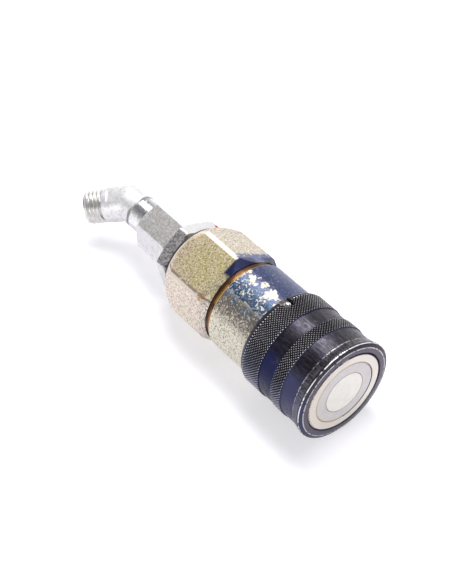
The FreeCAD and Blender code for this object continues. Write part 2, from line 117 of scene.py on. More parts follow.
def add_math(tree: NodeTree, operation: str, *values: object) -> NodeSocket:
    """Return the output of a new Math node, fed by sockets or numbers in order."""
    return add_node(tree, "Math", dict(enumerate(values)), operation=operation).outputs[0]


class SurfaceGroups:
    """Shared shader node groups, each built once."""

    @staticmethod
    def new_group(name: str, inputs: dict[str, float], outputs: list[str]) -> NodeTree:
        """Make an empty shader group with float sockets.

        Args:
            name: Name of the group.
            inputs: Input names and their default values.
            outputs: Output names.

        Returns:
            The group's tree, with its input and output nodes in place.
        """
        tree = bpy.data.node_groups.new(name, "ShaderNodeTree")
        for key, default in inputs.items():
            socket = tree.interface.new_socket(name=key, in_out="INPUT", socket_type="NodeSocketFloat")
            socket.default_value = default
        for key in outputs:
            tree.interface.new_socket(name=key, in_out="OUTPUT", socket_type="NodeSocketFloat")
        tree.nodes.new("NodeGroupInput")
        tree.nodes.new("NodeGroupOutput")
        return tree

    @classmethod
    def place(cls) -> NodeTree:
        """Return the group that gives depth, radius (mm) and angle (degrees) of a point."""
        if "turned place" in bpy.data.node_groups:
            return bpy.data.node_groups["turned place"]
        tree = cls.new_group("turned place", {}, ["Depth", "Radius", "Angle"])
        maths = partial(add_math, tree)
        coords = add_node(tree, "TexCoord", {})
        x, y, z = add_node(tree, "SeparateXYZ", {0: coords.outputs["Object"]}).outputs
        square = maths("ADD", maths("MULTIPLY", y, y), maths("MULTIPLY", z, z))
        lifted = maths("MODULO", maths("ADD", maths("DEGREES", maths("ARCTAN2", z, y)), 450.0), 360.0)
        sink = tree.nodes["Group Output"].inputs
        tree.links.new(maths("MULTIPLY", x, -PER_METRE), sink["Depth"])
        tree.links.new(maths("MULTIPLY", maths("SQRT", square), PER_METRE), sink["Radius"])
        tree.links.new(maths("SUBTRACT", lifted, 90.0), sink["Angle"])
        return tree

    @classmethod
    def grain(cls) -> NodeTree:
        """Return the group that gives noise at a scale in marks per millimetre."""
        if "surface grain" in bpy.data.node_groups:
            return bpy.data.node_groups["surface grain"]
        tree = cls.new_group("surface grain", {"Scale": 1.0, "Detail": 4.0, "Rough": 0.6, "Shift": 0.0,
                                               "Stretch": 1.0}, ["Value"])
        given = tree.nodes["Group Input"].outputs
        coords = add_node(tree, "TexCoord", {})
        stretch = add_node(tree, "CombineXYZ", {0: given["Stretch"], 1: 1.0, 2: 1.0})
        scaled = add_node(tree, "VectorMath", {0: coords.outputs["Object"], 1: stretch.outputs[0]},
                          operation="MULTIPLY")
        moved = add_node(tree, "VectorMath", {0: scaled.outputs[0], 1: given["Shift"]}, operation="ADD")
        marks = add_math(tree, "MULTIPLY", given["Scale"], PER_METRE)
        noise = add_node(tree, "TexNoise", {"Vector": moved.outputs[0], "Scale": marks,
                                            "Detail": given["Detail"], "Roughness": given["Rough"]})
        tree.links.new(noise.outputs["Fac"], tree.nodes["Group Output"].inputs["Value"])
        return tree

    @classmethod
    def flake(cls) -> NodeTree:
        """Return the group that turns noise and a cover share into a mask with broken edges."""
        if "flaking" in bpy.data.node_groups:
            return bpy.data.node_groups["flaking"]
        tree = cls.new_group("flaking", {"Scale": 1.0, "Cover": 0.5, "Soft": 0.03, "Shift": 0.0,
                                         "Detail": 6.0, "Rough": 0.6}, ["Mask"])
        given = tree.nodes["Group Input"].outputs
        feeds = {key: given[key] for key in ("Scale", "Shift", "Detail", "Rough")}
        grain = add_node(tree, "Group", feeds, node_tree=cls.grain())
        level = add_math(tree, "MULTIPLY_ADD", add_math(tree, "SUBTRACT", given["Cover"], 0.5), 0.62, 0.5)
        gap = add_math(tree, "SUBTRACT", level, grain.outputs["Value"])
        slope = add_math(tree, "DIVIDE", gap, given["Soft"])
        mask = add_node(tree, "Clamp", {"Value": add_math(tree, "ADD", slope, 0.5)})
        tree.links.new(mask.outputs[0], tree.nodes["Group Output"].inputs["Mask"])
        return tree


class Surface:
    """One material and the small vocabulary that builds it."""

    def __init__(self, name: str, colour: Colour, metallic: float, roughness: float) -> None:
        """Create the material with plain values on the shader's own sockets.

        Args:
            name: Name of the material.
            colour: Plain base colour, linear.
            metallic: Metallic value.
            roughness: Roughness value.
        """
        self.material = bpy.data.materials.new(name)
        self.material.use_nodes = True
        self.tree = self.material.node_tree
        self.shader = self.tree.nodes["Principled BSDF"]
        self.shader.inputs["Base Color"].default_value = (*colour, 1.0)
        self.shader.inputs["Metallic"].default_value = metallic
        self.shader.inputs["Roughness"].default_value = roughness
        self.material.diffuse_color = (*colour, 1.0)
        self.colour: object = colour

    def where(self) -> list[NodeSocket]:
        """Return the point's depth, radius and angle."""
        return add_node(self.tree, "Group", {}, node_tree=SurfaceGroups.place()).outputs[:]

    def value(self, operation: str, *values: object) -> NodeSocket:
        """Return the output of a Math node."""
        return add_math(self.tree, operation, *values)

    def grain(self, scale: float, detail: float = 4.0, rough: float = 0.6, shift: float = 0.0,
              stretch: float = 1.0) -> NodeSocket:
        """Return noise.

        Args:
            scale: Marks per millimetre.
            detail: How many finer layers the noise has.
            rough: Strength of the finer layers.
            shift: Offset of the pattern.
            stretch: Scale along the coupling axis, as a share of scale.

        Returns:
            A value from 0 to 1.
        """
        feeds = {"Scale": scale, "Detail": detail, "Rough": rough, "Shift": shift, "Stretch": stretch}
        return add_node(self.tree, "Group", feeds, node_tree=SurfaceGroups.grain()).outputs["Value"]

    def flake(self, scale: float, cover: object, soft: float = 0.03, shift: float = 0.0,
              rough: float = 0.6) -> NodeSocket:
        """Return a mask with broken edges.

        Args:
            scale: Flakes per millimetre.
            cover: Share of the surface that is covered, a number or a socket.
            soft: Softness of the edges.
            shift: Offset of the pattern.
            rough: Raggedness of the edges.

        Returns:
            The mask.
        """
        feeds = {"Scale": scale, "Cover": cover, "Soft": soft, "Shift": shift, "Rough": rough}
        return add_node(self.tree, "Group", feeds, node_tree=SurfaceGroups.flake()).outputs["Mask"]

    def rise(self, value: NodeSocket, start: float, end: float, low: float = 0.0,
             high: float = 1.0) -> NodeSocket:
        """Return a smooth step.

        Args:
            value: The socket that the step follows.
            start: Value at which the result is low.
            end: Value at which the result is high; it may lie below start.
            low: Result at start.
            high: Result at end.

        Returns:
            The step.
        """
        limits = (start, end, low, high) if start < end else (end, start, high, low)
        feeds = dict(enumerate((value, *limits)))
        return add_node(self.tree, "MapRange", feeds, interpolation_type="SMOOTHSTEP").outputs["Result"]

    def band(self, value: NodeSocket, low: float, high: float, soft: float) -> NodeSocket:
        """Return a mask that is 1 between two values, with soft edges."""
        return self.both(self.rise(value, low - soft, low + soft), self.rise(value, high + soft, high - soft))

    def both(self, *masks: NodeSocket) -> NodeSocket:
        """Return the product of masks, which is 1 where all of them are."""
        return reduce(partial(self.value, "MULTIPLY"), masks)

    def either(self, *masks: NodeSocket) -> NodeSocket:
        """Return the largest of masks, which is 1 where one of them is."""
        return reduce(partial(self.value, "MAXIMUM"), masks)

    def blend(self, factor: object, first: object, second: object) -> NodeSocket:
        """Mix two colours, each a socket or a plain colour, by the share of the second."""
        return add_node(self.tree, "Mix", {0: factor, 6: first, 7: second}, data_type="RGBA").outputs[2]

    def coat(self, mask: NodeSocket, tint: object, share: float = 1.0) -> None:
        """Lay a colour over what the surface has so far.

        Args:
            mask: Where it goes.
            tint: The colour, plain or a socket.
            share: Its strength where the mask is 1.
        """
        factor = mask if share == 1.0 else self.value("MULTIPLY", mask, share)
        self.colour = self.blend(factor, self.colour, tint)

    def grit(self, colour: object, dark: float, light: float, scale: float = 1.1,
             shift: float = 0.0) -> NodeSocket:
        """Sprinkle a colour with fine dark and light grains.

        Args:
            colour: The colour to sprinkle.
            dark: Strength of the dark grains.
            light: Strength of the light grains.
            scale: Grains per millimetre.
            shift: Offset of the pattern.

        Returns:
            The sprinkled colour.
        """
        noise = self.grain(scale, 3.0, 0.75, shift)
        low = self.value("MULTIPLY", self.rise(noise, 0.50, 0.34), dark)
        high = self.value("MULTIPLY", self.rise(noise, 0.52, 0.68), light)
        return self.blend(high, self.blend(low, colour, (0.03, 0.03, 0.03)), (0.95, 0.93, 0.88))

    def attribute(self, name: str) -> NodeSocket:
        """Return a float attribute of the mesh, by its name."""
        return add_node(self.tree, "Attribute", {}, attribute_name=name).outputs["Fac"]

    def near(self, point: Vector, reach: float, soft: float) -> NodeSocket:
        """Return a mask round a point.

        Args:
            point: The point, in the row frame in metres.
            reach: Radius of the full mask, in metres.
            soft: Width of its soft edge, in metres.

        Returns:
            The mask.
        """
        coords = add_node(self.tree, "TexCoord", {})
        gap = add_node(self.tree, "VectorMath", {0: coords.outputs["Object"], 1: point}, operation="DISTANCE")
        return self.rise(gap.outputs["Value"], reach + soft, reach)

    def set(self, key: str, socket: NodeSocket) -> None:
        """Feed the shader's socket of that name."""
        self.tree.links.new(socket, self.shader.inputs[key])

    def bump(self, height: NodeSocket, depth_mm: float, strength: float = 1.0) -> None:
        """Raise the surface's normal by a height map.

        Args:
            height: Socket with values from 0 to 1.
            depth_mm: Height of the value 1, in millimetres.
            strength: Strength of the effect.
        """
        feeds = {"Strength": strength, "Distance": depth_mm * MM, "Height": height}
        self.set("Normal", add_node(self.tree, "Bump", feeds).outputs["Normal"])

    def finished(self) -> Material:
        """Return the material, with the colour so far as its base colour."""
        self.set("Base Color", self.colour)
        return self.material


@dataclass(frozen=True)
class PlainMetal:
    """Even metal finish with a fine grain."""

    name: str
    colour: Colour
    metallic: float = 0.9
    roughness: float = 0.35
    grain_scale: float = 2.0
    grain_depth: float = 0.02

    def build(self) -> Material:
        """Return the material."""
        surface = Surface(self.name, self.colour, self.metallic, self.roughness)
        surface.bump(surface.grain(self.grain_scale), self.grain_depth)
        return surface.material


@dataclass(frozen=True)
class SmoothPlastic:
    """Rubber or plastic of one colour."""

    name: str
    colour: Colour
    roughness: float

    def build(self) -> Material:
        """Return the material."""
        return Surface(self.name, self.colour, 0.0, self.roughness).material


@dataclass(frozen=True)
class ForgedZinc:
    """Pale zinc over a sandy forged skin, with painted shade on some flats and one drop of red lacquer."""

    name: str = "forged zinc"
    pale: Colour = (0.84, 0.84, 0.86)
    warm: Colour = (0.70, 0.69, 0.68)
    pit: Colour = (0.22, 0.20, 0.18)
    skin_scale: float = 2.6
    skin_depth: float = 0.10
    pit_cover: float = 0.30
    metallic: float = 0.55
    roughness: float = 0.36
    grit_dark: float = 0.20
    grit_light: float = 0.25
    flat_shade: Colour = (0.15, 0.135, 0.13)
    shade_share: float = 0.0
    shade_from: float = 102.6
    shade_to: float = 162.6
    shade_back: float = 129.6
    polished_neck: bool = False
    lacquer: Colour = (0.55, 0.01, 0.01)
    lacquer_depth: float = 99.6
    lacquer_angle: float = 42.6
    lacquer_r: float = 18.2
    lacquer_spot: float = 1.8

    def build(self) -> Material:
        """Return the material."""
        surface = Surface(self.name, self.pale, self.metallic, self.roughness)
        rise, both, flake, coat = surface.rise, surface.both, surface.flake, surface.coat
        skin = surface.grain(self.skin_scale, 5.0, 0.65)
        warmth = rise(surface.grain(0.5, 3.0, 0.6, 4.0), 0.42, 0.62)
        coat(warmth, self.warm)
        pits = flake(self.skin_scale, self.pit_cover, 0.05, 9.0)
        coat(pits, self.pit, 0.75)
        surface.colour = surface.grit(surface.colour, self.grit_dark, self.grit_light, 1.2, 2.0)
        depth, _, angle = surface.where()
        # Painted shade: flats in an angle band are darkened, standing in for their dark reflections.
        flat = both(surface.band(angle, self.shade_from, self.shade_to, 0.3),
                    rise(depth, self.shade_back, self.shade_back - 0.3))
        mottle = rise(surface.grain(1.0, 3.0, 0.8, 7.0), 0.40, 0.60, 1.0, 0.35)
        if self.polished_neck:
            neck = rise(depth, self.shade_back, self.shade_back + 0.4)
            surface.set("Metallic", rise(neck, 0.0, 1.0, self.metallic, 0.95))
            surface.set("Roughness", rise(neck, 0.0, 1.0, self.roughness, 0.20))
        darkening = surface.value("MULTIPLY", both(flat, mottle), self.shade_share)
        coat(darkening, self.flat_shade)
        corner = point_at(self.lacquer_depth, self.lacquer_angle, self.lacquer_r)
        coat(surface.near(corner, self.lacquer_spot * MM, 0.2 * MM), self.lacquer)
        surface.bump(skin, self.skin_depth)
        return surface.finished()


@dataclass(frozen=True)
class ChromateHexagon:
    """Yellow chromate on the large hexagon, with overspray at its front; depths and radii in mm."""

    name: str = "yellow chromate"
    olive: Colour = (0.62, 0.54, 0.22)
    cream: Colour = (0.72, 0.63, 0.53)
    pink: Colour = (0.70, 0.55, 0.42)
    tan: Colour = (0.52, 0.455, 0.35)
    darkening: Colour = (0.13, 0.09, 0.06)
    navy: Colour = (0.015, 0.02, 0.07)
    spray: Colour = (0.09, 0.11, 0.22)
    amber: Colour = (0.34, 0.15, 0.02)
    brown: Colour = (0.06, 0.025, 0.01)
    rim: Colour = (0.85, 0.83, 0.80)
    front: float = 69.0
    rear: float = 97.0
    flats_r: float = 20.5
    top_corner: float = 90.0
    low_corner: float = 150.0
    throat_front: float = 63.7
    throat_back: float = 66.2
    throat_r: float = 21.0

    def build(self) -> Material:
        """Return the material."""
        surface = Surface(self.name, self.olive, 0.62, 0.40)
        rise, both, flake, coat = surface.rise, surface.both, surface.flake, surface.coat
        depth, radius, angle = surface.where()
        top, low = self.top_corner, self.low_corner
        patch = rise(surface.grain(0.16, 3.0, 0.5, 2.0), 0.35, 0.70, 0.10, 0.45)
        coat(patch, self.pink)
        # Pinker towards the rear; the pink on the lower flat is painted reflection.
        rear = surface.value("ADD", rise(depth, self.rear - 17.0, self.rear),
                             rise(angle, low - 18.0, low + 6.0))
        coat(rear, self.pink, 0.6)
        # Painted reflection: the lower flat is lightened to cream, as if it mirrored the pale floor.
        lower_flat_reflection = surface.value("MULTIPLY", rise(angle, low - 1.0, low + 1.0), 0.8)
        coat(lower_flat_reflection, self.cream)
        # Painted reflection: the right flat, past the top corner, takes a tan of its own.
        coat(rise(angle, top + 1.0, top - 1.5), self.tan)
        surface.colour = surface.grit(surface.colour, 0.75, 0.75, 1.35)
        # Corner lands: rougher, and coloured cream as a painted highlight.
        land = rise(surface.value("PINGPONG", angle, 30.0), 26.6, 27.4)
        surface.set("Roughness", rise(land, 0.0, 1.0, 0.40, 0.62))
        coat(land, self.cream)
        # A dark flaked band along the mid flat, beside the lower corner.
        dark_fleck = both(surface.band(angle, low - 3.4, low - 0.6, 0.5), flake(0.35, 0.62, 0.1, 4.0))
        coat(dark_fleck, self.darkening, 0.75)
        # Painted highlight: a near-white line on the rear edge, on the top side only.
        rear_rim = both(rise(depth, self.rear - 1.3, self.rear - 0.8), rise(angle, top + 6.0, top + 22.0))
        coat(rear_rim, self.rim)
        share = rise(depth, self.front + 15.0, self.front - 3.0, 0.06, 0.44)
        specks = flake(1.3, share, 0.04, 6.0, 0.8)
        coat(specks, self.spray, 0.85)
        front = both(rise(depth, self.front + 9.0, self.front + 1.0), rise(angle, top + 8.0, top - 6.0))
        cover = flake(0.7, surface.value("MULTIPLY", front, 0.66), 0.03, 3.0, 0.8)
        coat(cover, self.spray)
        chamfer = both(rise(depth, self.front + 1.2, self.front),
                       rise(radius, self.flats_r, self.flats_r + 0.4))
        painted = flake(0.5, rise(angle, low - 10.0, top + 18.0, 0.16, 1.0), 0.03, 5.0)
        coat(both(chamfer, painted), self.navy)
        throat = both(rise(depth, self.throat_back, self.throat_back - 0.3),
                      rise(radius, self.throat_r, self.throat_r - 0.4))
        rust = surface.blend(rise(surface.grain(0.25, 4.0, 0.6, 8.0, 0.3), 0.48, 0.68), self.amber,
                             self.brown)
        rust = surface.blend(rise(angle, top + 10.0, top - 15.0), rust, self.brown)
        inner = rise(depth, self.throat_front, self.throat_front + 0.9)
        rust = surface.blend(inner, rust, self.brown)
        coat(throat, rust)
        spot = point_at(self.front + 1.0, low - 1.0, 22.4)
        dirt = both(surface.near(spot, 1.6 * MM, 1.4 * MM), flake(1.1, 0.55, 0.08, 13.0))
        coat(dirt, self.amber, 0.65)
        surface.bump(surface.grain(2.4, 5.0, 0.65, 1.0), 0.08)
        return surface.finished()


@dataclass(frozen=True)
class WornBarrel:
    """Blue paint that has flaked from the plated barrel; depths and radii in mm."""

    name: str = "worn barrel paint"
    plate: Colour = (0.80, 0.76, 0.62)
    dull: Colour = (0.44, 0.375, 0.29)
    navy: Colour = (0.025, 0.038, 0.113)
    teal: Colour = (0.02, 0.09, 0.17)
    cream: Colour = (0.64, 0.61, 0.53)
    amber: Colour = (0.66, 0.50, 0.20)
    dark_fleck: Colour = (0.12, 0.10, 0.085)
    line: Colour = (0.04, 0.03, 0.03)
    ring: Colour = (0.79, 0.74, 0.68)
    ball_depth: float = 35.9
    ball_angle: float = 92.0
    ball_r: float = 21.4
    paint_end: float = 62.25
    rim_inner_r: float = 15.5
    rim_outer_r: float = 18.5

    def build(self) -> Material:
        """Return the material."""
        surface = Surface(self.name, self.plate, 0.35, 0.46)
        rise, both, flake, coat = surface.rise, surface.both, surface.flake, surface.coat
        depth, radius, angle = surface.where()
        # Painted reflection: the band from 118 to 150 degrees is dulled and darkened in a mottle, where the
        # plate mirrors a dark part of the room.
        middle = surface.band(angle, 118.0, 150.0, 12.0)
        mottled = rise(surface.grain(1.1, 4.0, 0.8, 3.0), 0.42, 0.54)
        coat(middle, self.dull, 0.8)
        coat(both(middle, mottled), self.dark_fleck)
        surface.colour = surface.grit(surface.colour, 0.85, 0.75, 1.25, 4.0)
        specks = flake(1.0, rise(angle, 172.0, 120.0, 0.22, 0.60), 0.04, 7.0, 0.8)
        wash = rise(surface.grain(0.3, 3.0, 0.6, 8.0), 0.42, 0.58)
        wash = both(wash, rise(angle, 140.0, 122.0))
        coat(specks, surface.blend(wash, self.dark_fleck, self.teal))
        hold = surface.value("ADD", rise(angle, 130.0, 117.0, 0.0, 0.70),
                             rise(angle, 108.0, 98.0, 0.0, -0.20))
        hold = surface.value("ADD", hold, rise(angle, 89.0, 78.0, 0.0, 0.55))
        paint = flake(0.23, hold, 0.012, 2.4, 0.72)
        nicks = flake(1.0, rise(angle, 84.0, 112.0, 0.05, 0.40), 0.03, 11.0)
        paint = surface.value("MULTIPLY", paint, surface.value("SUBTRACT", 1.0, nicks))
        blue = surface.blend(rise(surface.grain(0.5, 4.0, 0.6, 5.0), 0.42, 0.6), self.navy, self.teal)
        blue = surface.blend(rise(angle, 104.0, 92.0), blue, self.navy)
        blue = surface.grit(blue, 0.4, 0.14, 1.1, 3.0)
        surface.set("Roughness", rise(paint, 0.0, 1.0, 0.60, 0.36))
        coat(rise(angle, 126.0, 114.0), self.cream)
        coat(paint, blue)
        # Painted shade: the barrel is darkened round the lock ball, where the sleeve's notch throws shadow.
        ball = point_at(self.ball_depth, self.ball_angle, self.ball_r)
        coat(surface.near(ball, 4.0 * MM, 0.6 * MM), self.line)
        rear_line = surface.band(depth, self.paint_end, self.paint_end + 0.55, 0.1)
        coat(rear_line, self.amber)
        head = rise(depth, 0.06, 0.02)
        coat(head, self.ring)
        edges = surface.either(rise(radius, self.rim_inner_r, self.rim_inner_r - 0.25),
                               rise(radius, self.rim_outer_r, self.rim_outer_r + 0.2))
        rim = both(head, edges)
        rim_colour = surface.blend(rise(angle, 80.0, -20.0), self.amber, self.line)
        coat(rim, rim_colour)
        surface.bump(surface.either(paint, surface.value("MULTIPLY", mottled, 0.4)), 0.05)
        return surface.finished()


@dataclass(frozen=True)
class BlackSleeve:
    """Black oxide on the sleeve, rubbed bright on its edges and knurl tips with painted highlights and glints
    there, with blue in its recesses and painted reflection of the floor on its lower side; depths in mm.
    """

    name: str = "black oxide sleeve"
    black: Colour = (0.020, 0.018, 0.024)
    navy: Colour = (0.006, 0.009, 0.045)
    deep: Colour = (0.034, 0.037, 0.088)
    bright: Colour = (0.80, 0.79, 0.80)
    violet: Colour = (0.10, 0.088, 0.12)
    low_blue: Colour = (0.045, 0.05, 0.11)
    brushed: Colour = (0.075, 0.07, 0.085)
    flare_highlight: Colour = (0.22, 0.21, 0.23)
    front_recess: tuple[float, float] = (5.6, 13.3)
    rear_recess: tuple[float, float] = (19.0, 27.3)
    flare: tuple[float, float] = (1.9, 5.2)
    flange_r: float = 23.6
    face_edge_r: float = 21.85

    def build(self) -> Material:
        """Return the material."""
        surface = Surface(self.name, self.black, 0.85, 0.34)
        rise, both, flake, coat = surface.rise, surface.both, surface.flake, surface.coat
        depth, radius, angle = surface.where()
        brushed = surface.grain(1.6, 4.0, 0.7, 0.0, 0.12)
        coat(rise(brushed, 0.40, 0.75), self.brushed)
        # Painted reflection: the lower side turns blue, as if it mirrored the lavender floor.
        low = rise(angle, 140.0, 172.0, 0.0, 0.75)
        coat(low, self.low_blue)
        front_end = self.front_recess[1]
        rear_start, rear_end = self.rear_recess
        recess = surface.either(surface.band(depth, *self.rear_recess, 0.15),
                                surface.band(depth, *self.front_recess, 0.15))
        corner = surface.either(surface.band(depth, rear_end - 0.7, rear_end + 0.1, 0.12),
                                surface.band(depth, rear_start, rear_start + 0.5, 0.12),
                                surface.band(depth, front_end - 0.5, front_end + 0.1, 0.12))
        # The blue in the recesses grows towards the lower side; that growth is painted reflection of the
        # floor.
        wash = flake(0.3, rise(angle, 116.0, 160.0, 0.05, 0.95), 0.40, 3.0)
        blue = surface.either(both(recess, wash), surface.value("MULTIPLY", corner, 0.6))
        tint = surface.blend(rise(depth, front_end + 0.7, rear_start - 1.0), self.deep, self.navy)
        coat(blue, tint)
        # Painted highlight: brushed streaks on the flare are lightened.
        flare = both(surface.band(depth, *self.flare, 0.1), rise(brushed, 0.42, 0.62))
        coat(flare, self.flare_highlight, 0.3)
        # Knurl tips: rubbed bare in part, and lightened as painted glints.
        tips = rise(surface.attribute("knurl_tip"), 0.46, 0.92)
        worn_glints = flake(0.6, 0.78, 0.14, 12.0)
        coat(both(tips, worn_glints), self.bright)
        face = rise(depth, 0.06, 0.02)
        coat(face, self.violet)
        # The flange edge is partly rubbed bare and partly a painted highlight.
        rubbed_edge_and_sheen = both(surface.band(depth, 0.75, 1.10, 0.08),
                           rise(radius, self.flange_r, self.flange_r + 0.2))
        face_edge = both(rise(depth, 0.35, 0.25),
                         surface.band(radius, self.face_edge_r, self.face_edge_r + 0.45, 0.06))
        scuffs = flake(0.5, 0.60, 0.06, 5.0)
        edges = surface.either(rubbed_edge_and_sheen, surface.value("MULTIPLY", face_edge, 0.6))
        coat(both(edges, scuffs), self.bright)
        back_edge = both(surface.band(depth, 5.0, 5.6, 0.10), flake(0.6, 0.5, 0.08, 2.0))
        coat(back_edge, self.bright, 0.6)
        surface.set("Roughness", rise(surface.grain(0.8, 3.0, 0.6, 6.0), 0.3, 0.7, 0.28, 0.48))
        surface.bump(brushed, 0.03, 0.6)
        return surface.finished()


@dataclass(frozen=True)
class TurnedFace:
    """Fine turned plated steel of the valve parts."""

    name: str
    colour: Colour
    rim: Colour
    rim_r: float
    ring_rate: float = 26.0

    def build(self) -> Material:
        """Return the material."""
        surface = Surface(self.name, self.colour, 0.25, 0.36)
        depth, radius, _ = surface.where()
        head = surface.rise(depth, 0.06, 0.02)
        rings = surface.value("SINE", surface.value("MULTIPLY", radius, self.ring_rate))
        blotch = surface.rise(surface.grain(0.35, 4.0, 0.6, 3.0), 0.35, 0.7, 0.0, 0.10)
        surface.coat(blotch, self.rim)
        edge = surface.band(radius, self.rim_r - 0.16, self.rim_r + 0.3, 0.06)
        surface.coat(surface.both(head, edge), self.rim)
        surface.bump(surface.value("MULTIPLY_ADD", rings, 0.5, 0.5), 0.006, 0.5)
        return surface.finished()


@dataclass
class LockingSleeve:
    """Knurled sleeve that traps the balls, in the source's outline, sizes in mm."""

    length: float = 39.4
    lip_r: float = 19.45
    bore_r: float = 21.58
    land_r: float = 19.3
    land_front: float = 21.3
    land_rear: float = 23.0
    groove_r: float = 20.45
    groove_front: float = 6.7
    front_face_r: float = 22.1
    bevel_depth: float = 0.85
    flange_back: float = 1.75
    flange_r: float = 24.0
    flare_end: float = 5.15
    flare_end_r: float = 23.2
    band_r: float = 22.85
    front_band: tuple[float, float] = (13.2, 19.2)
    rear_band: tuple[float, float] = (27.1, 37.0)
    shoulder: float = 0.3
    taper_start: float = 38.0
    taper_r: float = 23.1
    rear_r: float = 22.45
    edge_break: float = 0.25
    ramp: float = 1.0
    knurl_r: float = 23.55
    knurl_cut: float = 0.55
    knurl_count: int = 102
    knurl_row: float = 0.7
    notch_r: float = 2.5
    notch_depth: float = 35.9
    notch_angle: float = 92.0
    notch_height: float = 6.0
    notch_sink: float = 2.0
    overlap: float = 1.0
    rest_half_width: float = 6.3

    def knurl_rows(self, band: tuple[float, float]) -> list[tuple[float, float, float]]:
        """Return (depth, radius, mark) rows of one knurled band.

        Args:
            band: Depths at which the band starts and ends.

        Returns:
            Rows whose mark is 1 on even rows and 2 on odd rows.
        """
        start, end = band[0] + self.shoulder, band[1] - self.shoulder
        count = 2 * round((end - start) / self.knurl_row / 2)
        return [(start + (end - start) * index / count, self.knurl_r, 1.0 + index % 2)
                for index in range(count + 1)]

    def outline(self) -> list[tuple[float, float, float]]:
        """Return the section as (depth, radius, mark) rows; mark 0 is a plain row."""
        front = [(self.shoulder, self.lip_r), (0.0, self.lip_r + self.shoulder), (0.0, self.front_face_r),
                 (self.bevel_depth - 0.23, self.flange_r - 0.38), (self.bevel_depth, self.flange_r),
                 (self.flange_back, self.flange_r), (self.flange_back + 0.3, self.flange_r - 0.22),
                 (self.flare_end, self.flare_end_r), (self.flare_end + 0.25, self.flare_end_r - 0.3),
                 (self.flare_end + 0.6, self.band_r), (self.front_band[0], self.band_r)]
        rows = [(depth, radius, 0.0) for depth, radius in front]
        rows += self.knurl_rows(self.front_band)
        rows += [(self.front_band[1], self.band_r, 0.0), (self.rear_band[0], self.band_r, 0.0)]
        rows += self.knurl_rows(self.rear_band)
        rear = [(self.taper_start, self.taper_r), (self.length - self.edge_break, self.rear_r),
                (self.length, self.rear_r - self.edge_break), (self.length, self.bore_r),
                (self.land_rear, self.bore_r), (self.land_rear, self.land_r), (self.land_front, self.land_r),
                (self.land_front - self.ramp, self.groove_r), (self.groove_front + self.ramp, self.groove_r),
                (self.groove_front, self.lip_r)]
        return rows + [(depth, radius, 0.0) for depth, radius in rear]

    def cutter(self) -> Object:
        """Return a round-ended block for the notch round the lock ball."""
        bm = bmesh.new()
        bmesh.ops.create_circle(bm, cap_ends=True, segments=32, radius=self.notch_r)
        for vert in bm.verts:
            if vert.co.x < -1e-6:
                vert.co.x -= self.length + self.overlap - self.notch_depth
        top = bmesh.ops.extrude_face_region(bm, geom=bm.faces[:])
        bmesh.ops.translate(bm, vec=(0, 0, self.notch_height),
                            verts=[item for item in top["geom"] if isinstance(item, bmesh.types.BMVert)])
        bmesh.ops.recalc_face_normals(bm, faces=bm.faces)
        side = radial(self.notch_angle)
        across = side.cross(Vector((1, 0, 0)))
        turn = Matrix((Vector((1, 0, 0)), across, side)).transposed().to_4x4()
        place = Matrix.Translation(Vector((-self.notch_depth, 0, 0)) + side * (self.bore_r - self.notch_sink))
        bmesh.ops.transform(bm, matrix=Matrix.Scale(MM, 4) @ place @ turn, verts=bm.verts)
        return Pieces.from_bmesh(bm, "notch_cutter")

    def rest_cutter(self) -> Object:
        """Return the slab for the flat along the sleeve's lowest line."""
        bm = bmesh.new()
        bmesh.ops.create_cube(bm, size=2.0 * self.flange_r)
        drop = math.sqrt(self.flange_r ** 2 - self.rest_half_width ** 2)
        move = (self.overlap - self.flange_r, 0.0, -drop - self.flange_r)
        bmesh.ops.translate(bm, vec=move, verts=bm.verts)
        bmesh.ops.scale(bm, vec=(MM, MM, MM), verts=bm.verts)
        return Pieces.from_bmesh(bm, "rest_cutter")

    def build(self) -> Object:
        """Return the finished sleeve."""
        bm = bmesh.new()
        rows = self.outline()
        mark = bm.verts.layers.float.new("knurl_tip")
        steps = 2 * self.knurl_count
        verts = []
        for depth, radius, level in rows:
            vert = bm.verts.new((-depth, 0.0, radius))
            vert[mark] = level
            verts.append(vert)
        edges = [bm.edges.new((verts[i], verts[(i + 1) % len(verts)])) for i in range(len(verts))]
        bmesh.ops.spin(bm, geom=verts + edges, cent=(0, 0, 0), axis=(1, 0, 0), angle=math.tau, steps=steps,
                       use_merge=True)
        bmesh.ops.remove_doubles(bm, verts=bm.verts, dist=1e-4)
        slope = 1.0 - self.knurl_cut / self.knurl_r
        roots = set()
        for vert in bm.verts:
            level = vert[mark]
            if level < 0.5:
                vert[mark] = 0.0
                continue
            column = round(math.atan2(vert.co.y, vert.co.z) / math.tau * steps)
            tip = (column + round(level)) % 2 == 0
            vert[mark] = 1.0 if tip else 0.0
            if not tip:
                vert.co.y *= slope
                vert.co.z *= slope
                roots.add(vert)
        for face in [face for face in bm.faces if len(face.verts) == 4]:
            low = [vert for vert in face.verts if vert in roots]
            if len(low) == 2 and not any(edge.other_vert(low[0]) is low[1] for edge in low[0].link_edges):
                bmesh.utils.face_split(face, low[0], low[1])
        bmesh.ops.recalc_face_normals(bm, faces=bm.faces)
        bmesh.ops.scale(bm, vec=(MM, MM, MM), verts=bm.verts)
        sleeve = Pieces.from_bmesh(bm, "sleeve_knurled")
        return Pieces.cut(Pieces.cut(sleeve, self.cutter()), self.rest_cutter())


